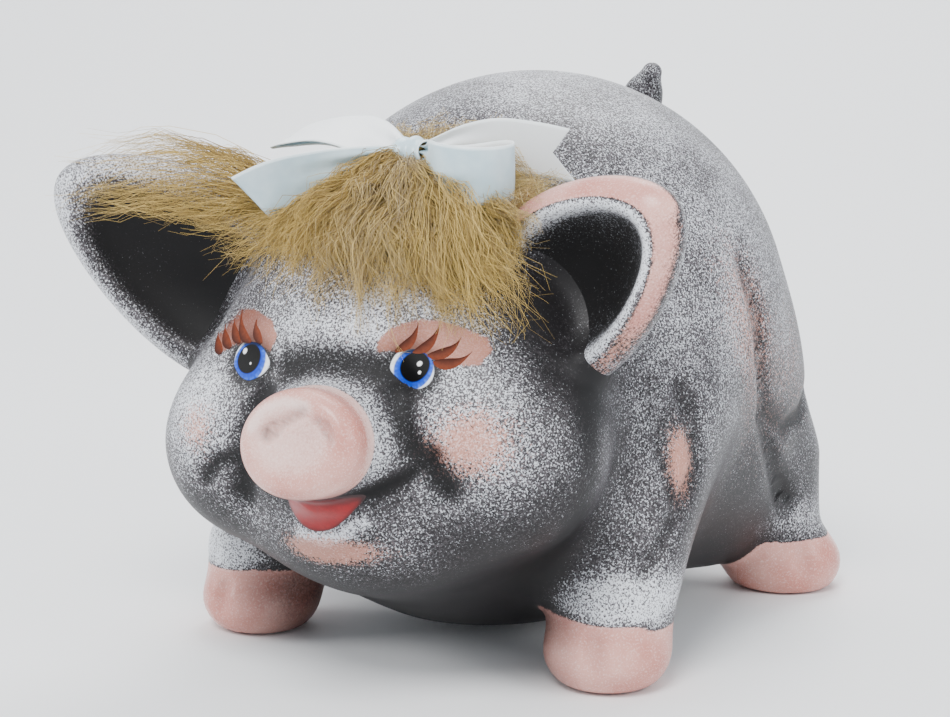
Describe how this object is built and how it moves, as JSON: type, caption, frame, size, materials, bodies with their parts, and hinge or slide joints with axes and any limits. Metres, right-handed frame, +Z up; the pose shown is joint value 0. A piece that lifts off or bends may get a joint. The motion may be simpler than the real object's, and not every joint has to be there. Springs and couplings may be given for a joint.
{
  "type": "piggy bank",
  "caption": "Hollow ceramic pig money bank with a top coin slot, a pull-out rubber stopper under the belly and a lock of doll hair tied with a satin bow.",
  "frame": {"origin": "middle of the whole object's footprint, on the surface it stands on", "axes": "+Z up, the pig faces -Y, its left side is +X"},
  "size_m": [0.1952, 0.2332, 0.1681],
  "materials": {
    "painted_ceramic": "fired earthenware, charcoal base coat dry-brushed with white and pink, satin sealer",
    "stopper_rubber": "smooth moulded rubber",
    "dried_glue": "dried craft glue",
    "doll_hair": "fine golden-brown doll hair",
    "satin_ribbon": "pale blue satin ribbon"
  },
  "bodies": {
    "bank": {"body_shell": "painted_ceramic", "left_ear": "painted_ceramic", "right_ear": "painted_ceramic", "tail": "painted_ceramic", "ribbon_knot": "satin_ribbon", "ribbon_loop_left": "satin_ribbon", "ribbon_loop_right": "satin_ribbon", "ribbon_tail_left": "satin_ribbon", "ribbon_tail_right": "satin_ribbon", "glue_dab": "dried_glue", "hair_fringe": "doll_hair", "hair_sweep_left": "doll_hair", "hair_puff_back": "doll_hair", "hair_sweep_right": "doll_hair"},
    "stopper": {"stopper": "stopper_rubber"}
  },
  "joints": [
    {"name": "stopper_pull", "type": "slide", "parent": "bank", "child": "stopper", "axis": [0, 0, -1], "range_m": [0, 0.03]}
  ]
}
